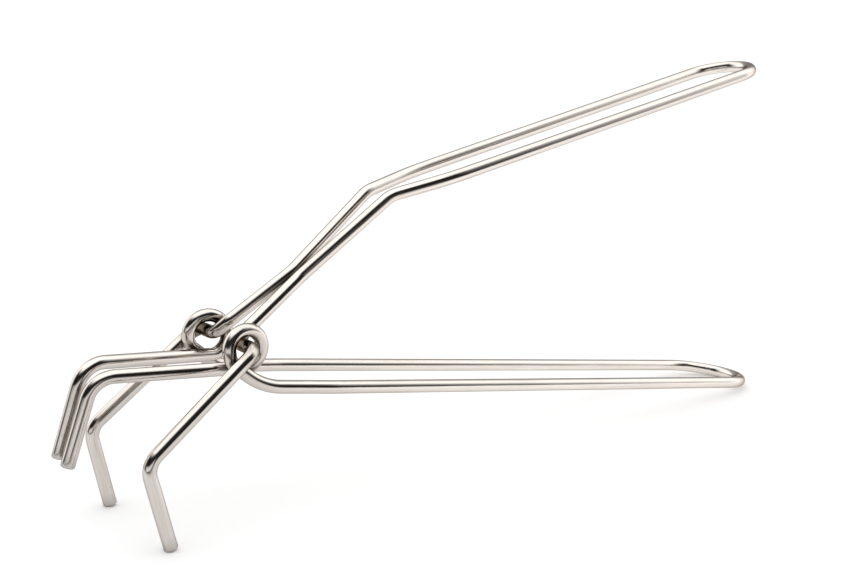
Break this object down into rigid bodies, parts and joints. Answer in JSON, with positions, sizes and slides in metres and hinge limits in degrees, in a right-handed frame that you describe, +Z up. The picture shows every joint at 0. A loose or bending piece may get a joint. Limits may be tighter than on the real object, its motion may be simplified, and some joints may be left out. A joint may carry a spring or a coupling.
{
  "type": "jar lifter",
  "caption": "Wire jar lifter: two bent wires that scissor on eyes, with long looped handles, a close-set jaw and a spread jaw.",
  "frame": {"origin": "middle of the tool's bounding box, on the table it stands on", "axes": "+X from the jaws to the closed ends of the handles, +Y across the tool, +Z up; it stands on the two spread tips and on the closed end of the lower handle"},
  "size_m": [0.2655, 0.0472, 0.1187],
  "materials": {
    "plated_wire": "bright plated, drawn round wire"
  },
  "bodies": {
    "lower_wire": {"lower_handle_wire": "plated_wire"},
    "upper_wire": {"upper_handle_wire": "plated_wire"}
  },
  "joints": [
    {"name": "jaw_pivot", "type": "hinge", "parent": "lower_wire", "child": "upper_wire", "pos_m": [-0.08005, 0, 0.0502], "axis": [0, 1, 0], "range_deg": [-85, 29]}
  ]
}
